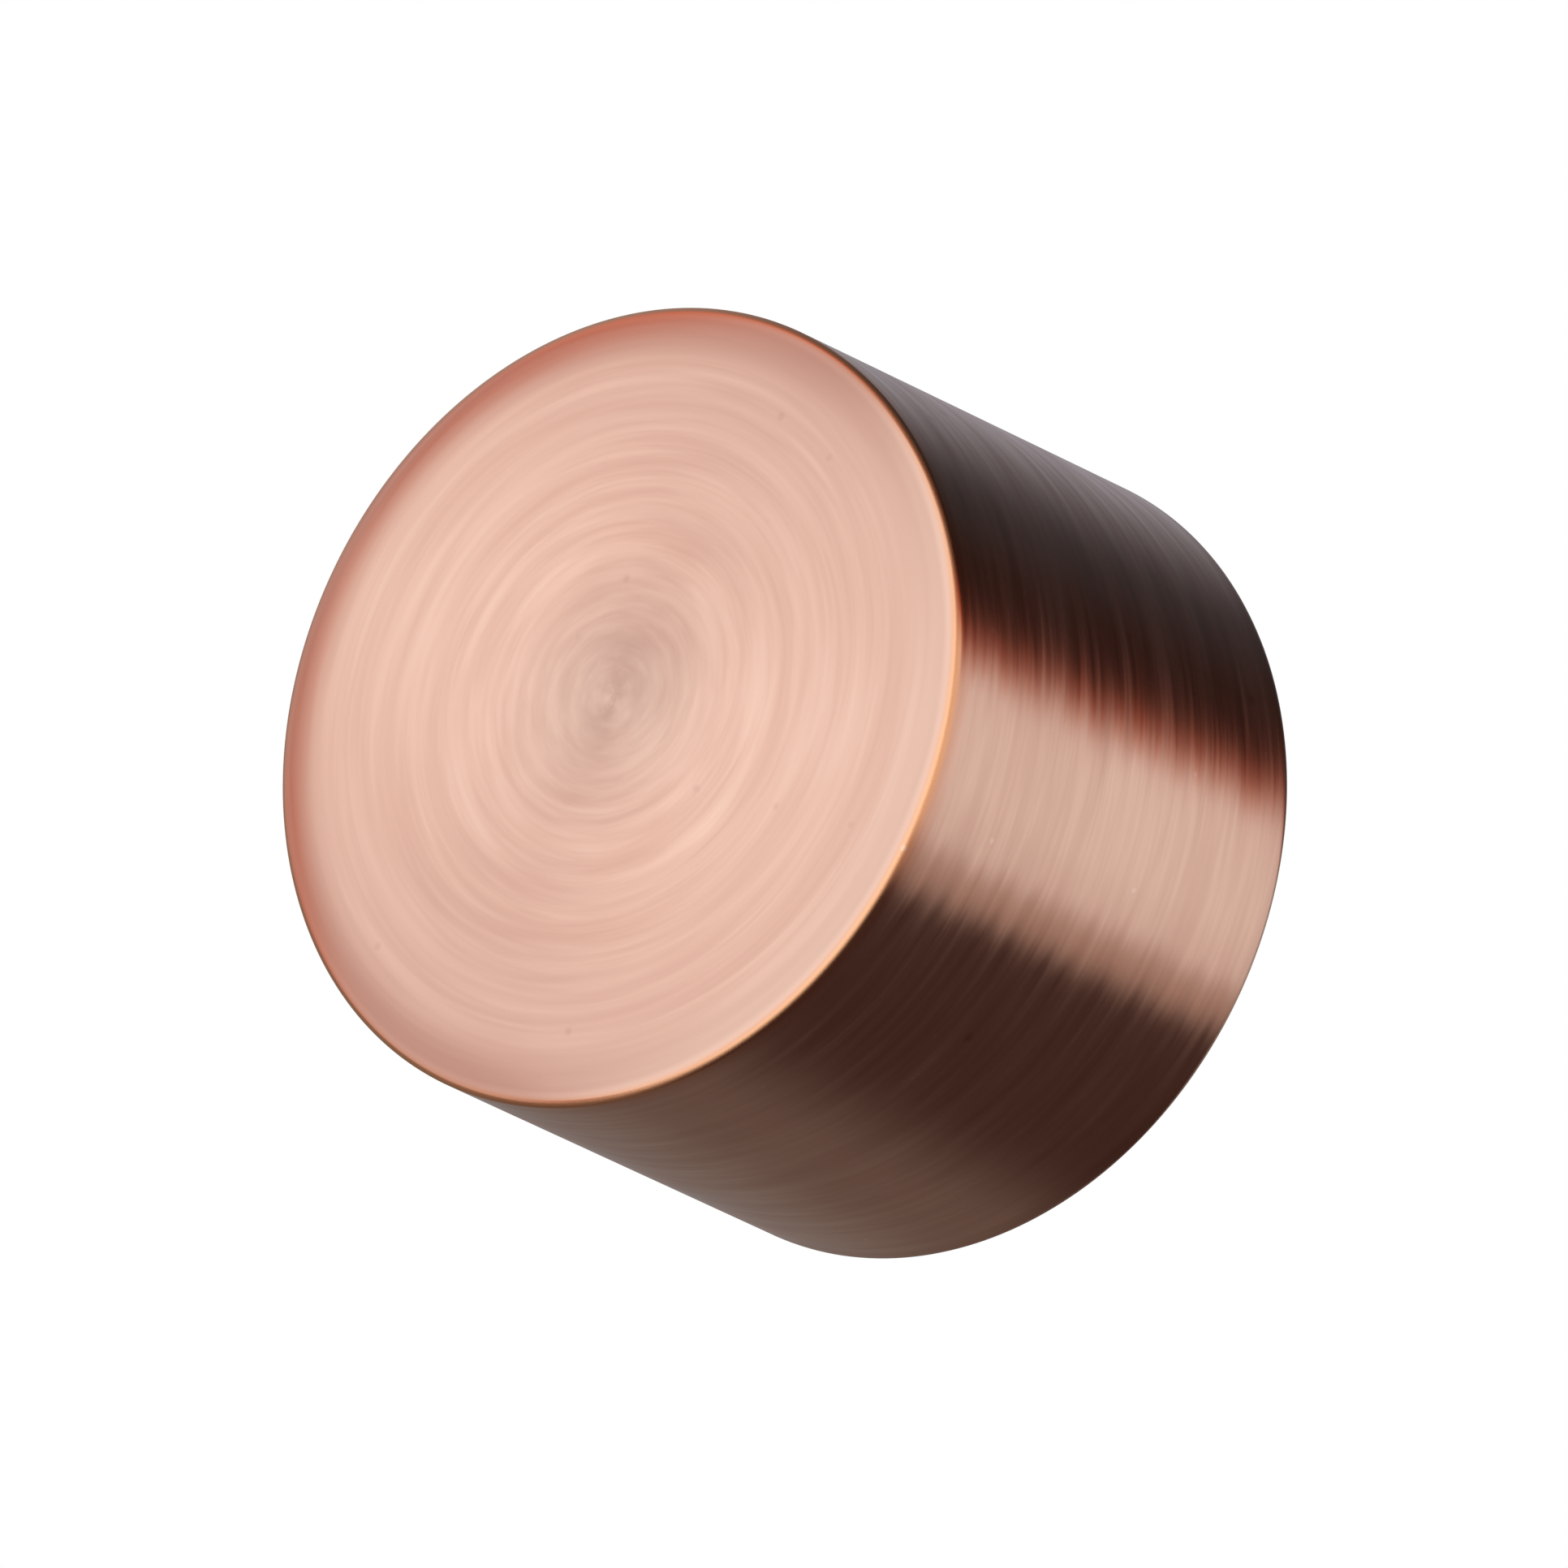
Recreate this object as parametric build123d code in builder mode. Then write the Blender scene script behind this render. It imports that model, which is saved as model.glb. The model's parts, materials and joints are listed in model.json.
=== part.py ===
from build123d import *
import os

# Finial: a plain turned end cap with a blind round socket, and the grub screw in its back that holds
# it in place. The origin is the middle of the seat at the end of the socket, +X runs along the axis
# and out of the socket, +Y points to the back and +Z is up.

# Driving dimensions of the cap, in millimetres
pole_diameter = 30.0
socket_clearance = 0.2
wall = 3.3
socket_depth = 22.0
front_thickness = 4.3

# The turned edges of the cap
face_roll_width = 2.6
face_roll_drop = 0.36
face_edge_radius = 0.4
rim_edge_radius = 0.6
mouth_chamfer = 0.6

# The grub screw, with its thread left plain, and its hole through the back of the cap
screw_diameter = 4.0
screw_clearance = 0.03
screw_from_mouth = 8.0
screw_sink = 0.3
screw_end_chamfer = 0.3
key_across_flats = 2.0
key_floor = 0.8
cup_diameter = 2.0
cup_depth = 0.6
hole_edge_break = 0.3

# Sizes that follow from them
socket_radius = pole_diameter / 2 + socket_clearance
cap_radius = socket_radius + wall
screw_radius = screw_diameter / 2
hole_radius = screw_radius + screw_clearance
screw_length = wall - screw_sink
key_depth = screw_length - cup_depth - key_floor

# Places along the axis: the cap's face, the edge of its roll, the socket's mouth and the screw
face_x = -front_thickness
roll_end_x = face_x + face_roll_drop
mouth_x = socket_depth
screw_x = mouth_x - screw_from_mouth

mouth_plane = Plane.YZ.offset(mouth_x)
back_plane = Plane(origin=(screw_x, cap_radius, 0), x_dir=(1, 0, 0), z_dir=(0, 1, 0))
screw_top_plane = back_plane.offset(-screw_sink)
screw_section_plane = Plane(origin=(screw_x, 0, 0), x_dir=(1, 0, 0), z_dir=(0, 0, 1))

# The cap: one turned piece, flat in the middle of its face and softly rolled off towards the edge
with BuildPart() as cap:
    with BuildSketch(Plane.XY):
        with BuildLine():
            centre = Line((mouth_x, 0), (face_x, 0))
            face_flat = Line(centre @ 1, (face_x, cap_radius - face_roll_width))
            face_roll = TangentArc(face_flat @ 1, (roll_end_x, cap_radius), tangent=face_flat % 1)
            side = Line(face_roll @ 1, (mouth_x, cap_radius))
            Line(side @ 1, centre @ 0)
        make_face()
    revolve(axis=Axis.X)

    face_edge = cap.edges().filter_by(GeomType.CIRCLE).group_by(SortBy.RADIUS)[-1].sort_by(Axis.X)[0]
    fillet(face_edge, face_edge_radius)
    rim_edge = cap.edges().filter_by(GeomType.CIRCLE).group_by(SortBy.RADIUS)[-1].sort_by(Axis.X)[-1]
    fillet(rim_edge, rim_edge_radius)

    with Locations(mouth_plane):
        Hole(radius=socket_radius, depth=socket_depth)
    mouth_edge = cap.faces().filter_by(Axis.X).sort_by(Axis.X)[-1].inner_wires()[0].edges()
    chamfer(mouth_edge, mouth_chamfer)

    with Locations(back_plane):
        CounterSinkHole(
            radius=hole_radius,
            counter_sink_radius=hole_radius + hole_edge_break,
            depth=cap_radius,
            counter_sink_angle=90,
        )
cap.part.label = "end_cap"

# The grub screw: chamfered at both ends, with a key socket outside and a cup point inside
with BuildPart() as screw:
    screw_tip_y = cap_radius - screw_sink - screw_length
    with BuildSketch(screw_section_plane):
        with BuildLine():
            Polyline(
                (0, screw_tip_y + cup_depth),
                (cup_diameter / 2, screw_tip_y),
                (screw_radius - screw_end_chamfer, screw_tip_y),
                (screw_radius, screw_tip_y + screw_end_chamfer),
                (screw_radius, screw_tip_y + screw_length - screw_end_chamfer),
                (screw_radius - screw_end_chamfer, screw_tip_y + screw_length),
                (0, screw_tip_y + screw_length),
                close=True,
            )
        make_face()
    revolve(axis=Axis((screw_x, 0, 0), (0, 1, 0)))
    with BuildSketch(screw_top_plane):
        RegularPolygon(radius=key_across_flats / 2, side_count=6, major_radius=False)
    extrude(amount=-key_depth, mode=Mode.SUBTRACT)
screw.part.label = "grub_screw"

os.makedirs("parts", exist_ok=True)
for piece in (cap, screw):
    export_step(piece.part, f"parts/{piece.part.label}.step")

print(f"cap diameter {2 * cap_radius:.2f} mm, length {mouth_x - face_x:.2f} mm, screw length {screw_length:.2f} mm")
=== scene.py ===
"""Visual model of a finial: a brushed copper end cap and the grub screw in its back."""

import json
import logging
import math
from abc import ABC, abstractmethod
from dataclasses import dataclass
from enum import Enum
from typing import ClassVar

import bmesh
import bpy
from mathutils import Matrix, Vector


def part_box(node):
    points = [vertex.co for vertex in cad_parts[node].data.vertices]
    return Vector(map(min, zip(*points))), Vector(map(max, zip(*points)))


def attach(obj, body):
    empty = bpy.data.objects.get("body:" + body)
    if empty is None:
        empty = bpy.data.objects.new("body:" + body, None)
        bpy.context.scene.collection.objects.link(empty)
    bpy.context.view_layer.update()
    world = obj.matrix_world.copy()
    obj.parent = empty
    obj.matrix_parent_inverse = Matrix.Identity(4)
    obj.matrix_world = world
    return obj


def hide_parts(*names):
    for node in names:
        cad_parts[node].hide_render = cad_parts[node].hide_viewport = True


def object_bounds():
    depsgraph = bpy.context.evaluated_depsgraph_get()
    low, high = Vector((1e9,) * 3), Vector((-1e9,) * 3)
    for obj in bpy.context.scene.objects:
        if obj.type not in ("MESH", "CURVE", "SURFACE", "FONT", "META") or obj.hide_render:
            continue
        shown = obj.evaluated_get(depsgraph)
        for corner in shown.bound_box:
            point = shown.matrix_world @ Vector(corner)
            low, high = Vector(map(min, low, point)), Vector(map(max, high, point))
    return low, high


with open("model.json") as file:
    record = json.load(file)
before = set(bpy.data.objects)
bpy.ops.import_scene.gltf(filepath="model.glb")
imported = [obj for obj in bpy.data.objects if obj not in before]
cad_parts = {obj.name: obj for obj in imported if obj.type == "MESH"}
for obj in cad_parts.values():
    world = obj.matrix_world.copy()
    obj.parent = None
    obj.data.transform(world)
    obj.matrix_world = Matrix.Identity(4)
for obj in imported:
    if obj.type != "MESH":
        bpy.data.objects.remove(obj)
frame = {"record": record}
CAD_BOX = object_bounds()

MM = 0.001
QUARTER_TURN = math.pi / 2
WHITE = (1.0, 1.0, 1.0)
LOG = logging.getLogger("finial")

Range = tuple[float, float]
Triple = tuple[float, float, float]
Socket = bpy.types.NodeSocket
Tree = bpy.types.NodeTree
Material = bpy.types.Material
Piece = bpy.types.Object
Mesh = bmesh.types.BMesh


class CapFinish(Enum):
    """The finishes on the cap, by the number of their material slot."""

    BRUSHED = 0
    TURNED = 1
    TAPPED = 2


class ScrewFinish(Enum):
    """The materials on the screw, by the number of their material slot: the oiled steel, and a darker copy
    of it whose darkness is painted shade in the key socket.
    """

    OILED = 0
    SHADED = 1


class Zone(Enum):
    """The part of the cap that a tint is kept to."""

    ALL = "all"
    FACE = "face"
    SIDE = "side"


class RayKind(Enum):
    """The rays that see the white of the backdrop, as outputs of the Light Path node."""

    CAMERA = "Is Camera Ray"
    GLOSSY = "Is Glossy Ray"
    TRANSMISSION = "Is Transmission Ray"


class Wiring:
    """Adds nodes to one node tree and links them."""

    MEASURES: ClassVar[tuple[str, ...]] = ("LENGTH", "DISTANCE", "DOT_PRODUCT")
    FIRST_COLOUR: ClassVar[int] = 6
    SECOND_COLOUR: ClassVar[int] = 7
    MIXED_COLOUR: ClassVar[int] = 2

    def __init__(self, tree: Tree) -> None:
        """Empties the tree of a material, a world or a node group, to start on it."""
        self.tree = tree
        tree.nodes.clear()

    def node(self, kind: str, inputs: dict | None = None, **settings: object) -> bpy.types.Node:
        """Adds one node.

        Args:
            kind: The node's type, as it is named in Blender.
            inputs: Values or sockets for its inputs, by name or number.
            settings: Properties of the node itself, which are set first.

        Returns:
            The new node.
        """
        added = self.tree.nodes.new(kind)
        for name, value in settings.items():
            setattr(added, name, value)
        for name, value in (inputs or {}).items():
            if isinstance(value, Socket):
                self.tree.links.new(value, added.inputs[name])
            else:
                added.inputs[name].default_value = value
        return added

    def place(self) -> Socket:
        """Gives the Object coordinates, in metres."""
        return self.node("ShaderNodeTexCoord").outputs["Object"]

    def math(self, operation: str, *values: float | Socket, clamp: bool = False) -> Socket:
        """Adds a Math node with its inputs in order, clamped to 0 and 1 if asked, and gives its result."""
        inputs = dict(enumerate(values))
        return self.node("ShaderNodeMath", inputs, operation=operation, use_clamp=clamp).outputs[0]

    def vector(
        self, operation: str, first: Triple | Socket, second: float | Triple | Socket | None = None
    ) -> Socket:
        """Adds a Vector Math node.

        Args:
            operation: The name of its operation.
            first: Its first vector.
            second: Its second vector, or the factor of a SCALE.

        Returns:
            The socket of the new vector, or of the value that a measure gives.
        """
        inputs = {0: first}
        if second is not None:
            inputs["Scale" if operation == "SCALE" else 1] = second
        added = self.node("ShaderNodeVectorMath", inputs, operation=operation)
        return added.outputs["Value" if operation in self.MEASURES else "Vector"]

    def noise(self, place: Socket, scale: float, detail: float | Socket, roughness: float = 0.5) -> Socket:
        """Adds a Noise Texture that is read at a place, and gives its value, which lies around 0.5."""
        inputs = {"Vector": place, "Scale": scale, "Detail": detail, "Roughness": roughness}
        return self.node("ShaderNodeTexNoise", inputs).outputs[0]

    def eased(self, value: Socket, low: float, high: float, start: float = 0.0, end: float = 1.0) -> Socket:
        """Maps a value smoothly from the range of low to high to the range of start to end."""
        inputs = {"Value": value, "From Min": low, "From Max": high, "To Min": start, "To Max": end}
        return self.node("ShaderNodeMapRange", inputs, interpolation_type="SMOOTHSTEP").outputs[0]

    def blend(self, share: Socket, first: Triple | Socket, second: Triple | Socket) -> Socket:
        """Mixes two colours.

        Args:
            share: How much of the second colour is taken.
            first: The colour at a share of 0.
            second: The colour at a share of 1.

        Returns:
            The mixed colour's socket.
        """
        colours = [c if isinstance(c, Socket) else (*c, 1.0) for c in (first, second)]
        inputs = {0: share, self.FIRST_COLOUR: colours[0], self.SECOND_COLOUR: colours[1]}
        return self.node("ShaderNodeMix", inputs, data_type="RGBA").outputs[self.MIXED_COLOUR]

    def ramp(self, value: Socket, stops: list[tuple[float, Triple]]) -> Socket:
        """Adds a Color Ramp with eased stops.

        Args:
            value: The place along the ramp, from 0 to 1.
            stops: The place and the colour of each stop, in order.

        Returns:
            The colour's socket.
        """
        added = self.node("ShaderNodeValToRGB", {"Fac": value})
        added.color_ramp.interpolation = "EASE"
        elements = added.color_ramp.elements
        while len(elements) < len(stops):
            elements.new(1.0)
        for element, (place, colour) in zip(elements, stops):
            element.position, element.color = place, (*colour, 1.0)
        return added.outputs[0]

    def group(self, tree: Tree, inputs: dict) -> Socket:
        """Places a shared node group with its own values and gives its output."""
        return self.node("ShaderNodeGroup", inputs, node_tree=tree).outputs[0]


class SurfaceEffects:
    """The shader node groups that the finishes share, each built once.

    A Place is in Object coordinates, in metres, and an Along, Radius or Width is in millimetres.
    """

    VECTORS: ClassVar[tuple[str, ...]] = ("Place", "Normal")
    LINE_ROUGHNESS: ClassVar[float] = 0.55
    SPECK_EDGE: ClassVar[Range] = (0.05, 0.16)
    SIDE_FADE_MM: ClassVar[float] = 0.5

    def __init__(self) -> None:
        """Builds every group."""
        self.lines = self._turned_lines()
        self.edge = self._edge_band()
        self.specks = self._specks()
        self.side = self._side_mask()
        self.sway = self._swayed_normal()

    @classmethod
    def _start(cls, name: str, output: str, *inputs: str) -> tuple[Wiring, bpy.types.bpy_prop_collection]:
        """Makes an empty group with its sockets: a place or a normal is a vector, and all else a value.

        Args:
            name: The group's name.
            output: The name of its output.
            inputs: The names of its inputs.

        Returns:
            The group's wiring and the sockets of its inputs, by name.
        """
        w = Wiring(bpy.data.node_groups.new(name, "ShaderNodeTree"))
        for direction, labels in (("INPUT", inputs), ("OUTPUT", [output])):
            for label in labels:
                kind = "NodeSocketVector" if label in cls.VECTORS else "NodeSocketFloat"
                w.tree.interface.new_socket(label, in_out=direction, socket_type=kind)
        return w, w.node("NodeGroupInput").outputs

    @staticmethod
    def _end(w: Wiring, result: Socket) -> Tree:
        """Ends a group in its output, and gives the finished group."""
        w.node("NodeGroupOutput", {0: result})
        return w.tree

    @staticmethod
    def _section(w: Wiring, place: Socket) -> tuple[Socket, Socket, Socket]:
        """Finds where a point of a turned surface lies on the section through it.

        Args:
            w: The tree to add nodes to.
            place: Object coordinates in metres.

        Returns:
            The place along the axis and the radius in millimetres, and the direction around the axis.
        """
        scaled = w.vector("SCALE", place, 1 / MM)
        around = w.vector("MULTIPLY", scaled, (0, 1, 1))
        along = w.node("ShaderNodeSeparateXYZ", {0: scaled}).outputs[0]
        return along, w.vector("LENGTH", around), w.vector("NORMALIZE", around)

    def _turned_lines(self) -> Tree:
        """Builds the fine lines that a belt or a tool leaves around a turned piece.

        Returns:
            A group that puts out the lines as a value around 0.5.
        """
        w, given = self._start("turned_lines", "Lines", "Place", "Lines per mm", "Breaks", "Detail")
        along, radius, heading = self._section(w, given["Place"])
        across = w.math("MULTIPLY", w.math("SUBTRACT", along, radius), given["Lines per mm"])
        offset = w.node("ShaderNodeCombineXYZ", {0: across}).outputs[0]
        place = w.vector("ADD", w.vector("SCALE", heading, given["Breaks"]), offset)
        return self._end(w, w.noise(place, 1.0, given["Detail"], self.LINE_ROUGHNESS))

    def _edge_band(self) -> Tree:
        """Builds a soft band around one turned edge, where handling wears the finish.

        Returns:
            A group that puts out 1 on the edge, fading to 0 at the band's width.
        """
        w, given = self._start("edge_band", "Band", "Place", "Along", "Radius", "Width")
        along, radius, _ = self._section(w, given["Place"])
        down = w.math("SUBTRACT", along, given["Along"])
        out = w.math("SUBTRACT", radius, given["Radius"])
        offset = w.node("ShaderNodeCombineXYZ", {0: down, 1: out}).outputs[0]
        share = w.math("DIVIDE", w.vector("LENGTH", offset), given["Width"])
        return self._end(w, w.eased(share, 0.0, 1.0, 1.0, 0.0))

    def _side_mask(self) -> Tree:
        """Builds a mask that tells the straight side of a turned piece from its ends.

        Returns:
            A group that puts out 1 from the given radius outwards, fading to 0 inside it.
        """
        w, given = self._start("side_mask", "Side", "Place", "Radius")
        _, radius, _ = self._section(w, given["Place"])
        outside = w.math("SUBTRACT", radius, given["Radius"])
        return self._end(w, w.eased(outside, -self.SIDE_FADE_MM, 0.0))

    def _swayed_normal(self) -> Tree:
        """Builds a normal that leans along the lines of a turned side, a different way on each line.

        Returns:
            A group that puts out the leaning normal.
        """
        w, given = self._start("swayed_normal", "Normal", "Normal", "Lines", "Amount")
        around = w.vector("CROSS_PRODUCT", (1, 0, 0), given["Normal"])
        lean = w.math("MULTIPLY", w.math("SUBTRACT", given["Lines"], 0.5), given["Amount"])
        swayed = w.vector("ADD", given["Normal"], w.vector("SCALE", around, lean))
        return self._end(w, w.vector("NORMALIZE", swayed))

    def _specks(self) -> Tree:
        """Builds sparse small specks, such as nicks and dust.

        Returns:
            A group that puts out 1 in the specks and 0 between them.
        """
        w, given = self._start("specks", "Specks", "Place", "Cells per m", "Chance")
        inputs = {"Vector": given["Place"], "Scale": given["Cells per m"]}
        cells = w.node("ShaderNodeTexVoronoi", inputs).outputs
        dots = w.eased(cells["Distance"], *self.SPECK_EDGE, 1.0, 0.0)
        draw = w.node("ShaderNodeSeparateColor", {0: cells["Color"]}).outputs[0]
        kept = w.math("LESS_THAN", draw, given["Chance"])
        return self._end(w, w.math("MULTIPLY", dots, kept))


def new_material(name: str) -> tuple[Material, Wiring]:
    """Starts a material.

    Args:
        name: Its name.

    Returns:
        The material and its wiring.
    """
    material = bpy.data.materials.new(name)
    material.use_nodes = True
    return material, Wiring(material.node_tree)


class Metal(ABC):
    """What every finish of the object is: a metal, whose lines may stretch its highlights."""

    ALONG_THE_LINES: ClassVar[float] = 0.25

    name: str
    anisotropy: float

    @abstractmethod
    def _surface(self, w: Wiring, effects: SurfaceEffects) -> dict[str, Socket]:
        """Works out the colour, the roughness and the normal, by the names of the shader's inputs."""

    def build(self, effects: SurfaceEffects) -> Material:
        """Makes the material.

        Args:
            effects: The shared node groups.

        Returns:
            The finished material.
        """
        material, w = new_material(self.name)
        inputs = {**self._surface(w, effects), "Metallic": 1.0, "Anisotropic": self.anisotropy}
        if self.anisotropy:
            inputs["Tangent"] = w.node("ShaderNodeTangent", direction_type="RADIAL", axis="X").outputs[0]
            inputs["Anisotropic Rotation"] = self.ALONG_THE_LINES
        shader = w.node("ShaderNodeBsdfPrincipled", inputs)
        w.node("ShaderNodeOutputMaterial", {"Surface": shader.outputs[0]})
        return material


@dataclass(frozen=True)
class LineLayer:
    """One width of lines: how many to a millimetre, how often they break in a turn, and its share."""

    per_mm: float
    breaks: float
    share: float


@dataclass(frozen=True)
class Tint:
    """A soft ring of another colour, which fades over its width and may be kept to one part of the cap."""

    colour: Triple
    width: float
    share: float
    zone: Zone = Zone.ALL


@dataclass(frozen=True)
class Specks:
    """Sparse small marks: how many cells to a metre, how many hold a mark, and how strong it is."""

    per_m: float
    chance: float
    share: float

    def build(self, w: Wiring, effects: SurfaceEffects, place: Socket) -> Socket:
        """Spreads the marks over a surface, as a value from 0 to their share."""
        inputs = {"Place": place, "Cells per m": self.per_m, "Chance": self.chance}
        return w.math("MULTIPLY", w.group(effects.specks, inputs), self.share)


@dataclass(frozen=True)
class Bench:
    """What the nodes of one turned finish start from.

    Both places are Object coordinates in metres, and ringed is shifted on the face to the rings' centre.
    """

    w: Wiring
    effects: SurfaceEffects
    place: Socket
    ringed: Socket
    side: Socket


@dataclass(frozen=True)
class BrushedCopper(Metal):
    """Copper brushed round the axis, worn along its edges and swirled where the brush turned; a lighter
    band inside the face's edge is painted highlight, a darker band towards the open end is painted shade,
    and the face's darker middle is partly painted shade.
    """

    TONE: ClassVar[tuple[LineLayer, ...]] = (
        LineLayer(5.5, 2.0, 0.06),
        LineLayer(1.9, 1.3, 0.40),
        LineLayer(0.7, 0.8, 0.38),
    )
    RINGS: ClassVar[tuple[LineLayer, ...]] = (LineLayer(1.6, 0.9, 1.0),)
    GROOVES: ClassVar[tuple[LineLayer, ...]] = (LineLayer(5.0, 1.6, 0.28), LineLayer(1.5, 0.9, 0.72))
    SCRATCHES: ClassVar[tuple[LineLayer, ...]] = (LineLayer(4.2, 1.4, 0.22), LineLayer(1.1, 0.9, 0.78))

    face_along: float
    edge_along: float
    edge_radius: float
    rim_along: float
    name: str = "brushed_copper"
    light: Triple = (0.91, 0.625, 0.50)
    deep: Triple = (0.82, 0.535, 0.42)
    tone_range: Range = (0.36, 0.64)
    detail: float = 2.0
    patina_per_m: float = 150.0
    patina_share: float = 0.16
    pale: Triple = (0.95, 0.69, 0.55)
    ring_range: Range = (0.62, 0.78)
    ring_share: float = 0.5
    ring_centre: Triple = (0.0, 0.0, 0.5 * MM)
    # Partly swirled brush marks and partly painted shade: the darker middle of the face stands in for the
    # dark reflection where the brushed rings meet.
    swirl_and_centre_shade: Tint = Tint((0.66, 0.46, 0.38), 7.2 * MM, 0.8)
    swirl_and_centre_shade_streaks: float = 0.7
    border: Tint = Tint((0.77, 0.50, 0.395), 12.0 * MM, 0.6, Zone.FACE)
    # A darker, redder band round the side next to the face's edge.
    rubbed: Tint = Tint((0.76, 0.31, 0.165), 1.5 * MM, 0.5, Zone.SIDE)
    # Painted highlight: a lighter band just inside the face's edge, standing in for the bright line that
    # the rounded edge mirrors.
    bright: Tint = Tint((1.0, 0.69, 0.545), 0.38 * MM, 0.55)
    painted_highlight_inset: float = 0.42 * MM
    worn: Tint = Tint((0.97, 0.49, 0.25), 0.5 * MM, 1.0)
    # Painted shade: a darker band round the side towards the cap's open end, standing in for the shade of
    # the pole that the cap sits on.
    painted_rim_shade: Tint = Tint((0.64, 0.40, 0.31), 1.8 * MM, 0.6)
    nick: Triple = (0.42, 0.25, 0.19)
    nicks: Specks = Specks(420.0, 0.10, 0.35)
    dust: Triple = (1.0, 0.84, 0.72)
    dust_specks: Specks = Specks(760.0, 0.08, 0.4)
    roughness: float = 0.21
    least_roughness: float = 0.12
    worn_roughness: float = 0.34
    face_unevenness: float = 0.19
    side_unevenness: float = 0.30
    side_inset: float = 0.05 * MM
    side_breaks: float = 1.8
    sway: float = 0.088
    anisotropy: float = 0.86
    groove: float = 1.0e-6

    def _placed_tints(self) -> tuple[tuple[Tint, float, float], ...]:
        """Places the tints of the edges, in the order in which they are laid.

        Returns:
            Each tint, with the place along the axis and the radius of the circle that it lies round.
        """
        edge, radius = self.edge_along, self.edge_radius
        return (
            (self.border, self.face_along, radius),
            (self.rubbed, edge, radius),
            (self.bright, edge, radius - self.painted_highlight_inset),
            (self.worn, edge, radius),
            (self.painted_rim_shade, self.rim_along, radius),
        )

    def _bench(self, w: Wiring, effects: SurfaceEffects) -> Bench:
        """Prepares what the nodes start from.

        Args:
            w: The material's wiring.
            effects: The shared node groups.

        Returns:
            The places and the mask of the straight side, with the wiring and the groups.
        """
        place, radius = w.place(), (self.edge_radius - self.side_inset) / MM
        side = w.group(effects.side, {"Place": place, "Radius": radius})
        shift = w.vector("SCALE", self.ring_centre, w.math("SUBTRACT", 1.0, side))
        return Bench(w, effects, place, w.vector("SUBTRACT", place, shift), side)

    @staticmethod
    def _band(bench: Bench, place: Socket, along: float, radius: float, width: float) -> Socket:
        """Places a soft band round a circle about the axis: a value of 1 that fades over its width."""
        inputs = {"Place": place, "Along": along / MM, "Radius": radius / MM, "Width": width / MM}
        return bench.w.group(bench.effects.edge, inputs)

    def _lines(self, bench: Bench, layers: tuple[LineLayer, ...]) -> Socket:
        """Lays several widths of lines over each other, shorter on the side than on the face.

        Args:
            bench: What the nodes start from.
            layers: The widths of lines.

        Returns:
            The lines, as a value around half of the layers' shares.
        """
        w, total = bench.w, 0.0
        for layer in layers:
            breaks = w.eased(bench.side, 0.0, 1.0, layer.breaks, layer.breaks * self.side_breaks)
            inputs = {"Place": bench.ringed, "Lines per mm": layer.per_mm, "Breaks": breaks}
            lines = w.group(bench.effects.lines, {**inputs, "Detail": self.detail})
            total = w.math("MULTIPLY_ADD", lines, layer.share, total)
        return total

    def _brushed(self, bench: Bench) -> Socket:
        """Mixes the colour of the brushed lines and of the darker middle of the face, which is partly
        swirled brush marks and partly painted shade.

        Args:
            bench: What the nodes start from.

        Returns:
            The colour's socket.
        """
        w = bench.w
        patina = w.noise(bench.place, self.patina_per_m, self.detail)
        tone = w.math("MULTIPLY_ADD", patina, self.patina_share, self._lines(bench, self.TONE))
        colour = w.blend(w.eased(tone, *self.tone_range), self.deep, self.light)
        rings = w.eased(self._lines(bench, self.RINGS), *self.ring_range, 0.0, self.ring_share)
        colour = w.blend(rings, colour, self.pale)
        # The darker middle of the face: partly swirled brush marks, partly painted shade.
        streaks = w.math("MULTIPLY_ADD", tone, -2 * self.swirl_and_centre_shade_streaks, 1 + self.swirl_and_centre_shade_streaks)
        swirl_and_centre_shade = self._band(bench, bench.ringed, self.face_along, 0.0, self.swirl_and_centre_shade.width)
        share = w.math("MULTIPLY", w.math("MULTIPLY", swirl_and_centre_shade, streaks), self.swirl_and_centre_shade.share)
        return w.blend(share, colour, self.swirl_and_centre_shade.colour)

    def _colour(self, bench: Bench) -> Socket:
        """Lays the tints, the nicks and the dust over the brushed colour.

        Args:
            bench: What the nodes start from.

        Returns:
            The colour's socket.
        """
        w, colour = bench.w, self._brushed(bench)
        masks = {Zone.SIDE: bench.side, Zone.FACE: w.math("SUBTRACT", 1.0, bench.side)}
        for tint, along, radius in self._placed_tints():
            band = self._band(bench, bench.place, along, radius, tint.width)
            share = w.math("MULTIPLY", band, tint.share)
            if tint.zone in masks:
                share = w.math("MULTIPLY", share, masks[tint.zone])
            colour = w.blend(share, colour, tint.colour)
        for specks, shade in ((self.nicks, self.nick), (self.dust_specks, self.dust)):
            colour = w.blend(specks.build(w, bench.effects, bench.place), colour, shade)
        return colour

    def _roughness(self, bench: Bench, lines: Socket) -> Socket:
        """Works out the roughness, which is uneven across the lines and higher along the worn edge.

        Args:
            bench: What the nodes start from.
            lines: The lines as a value around 0.5.

        Returns:
            The roughness.
        """
        w = bench.w
        uneven = w.eased(bench.side, 0.0, 1.0, self.face_unevenness, self.side_unevenness)
        rough = w.math("MULTIPLY_ADD", w.math("SUBTRACT", lines, 0.5), uneven, self.roughness)
        worn = self._band(bench, bench.place, self.edge_along, self.edge_radius, self.worn.width)
        rough = w.math("MAXIMUM", rough, w.math("MULTIPLY", worn, self.worn_roughness))
        return w.math("MAXIMUM", rough, self.least_roughness)

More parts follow.
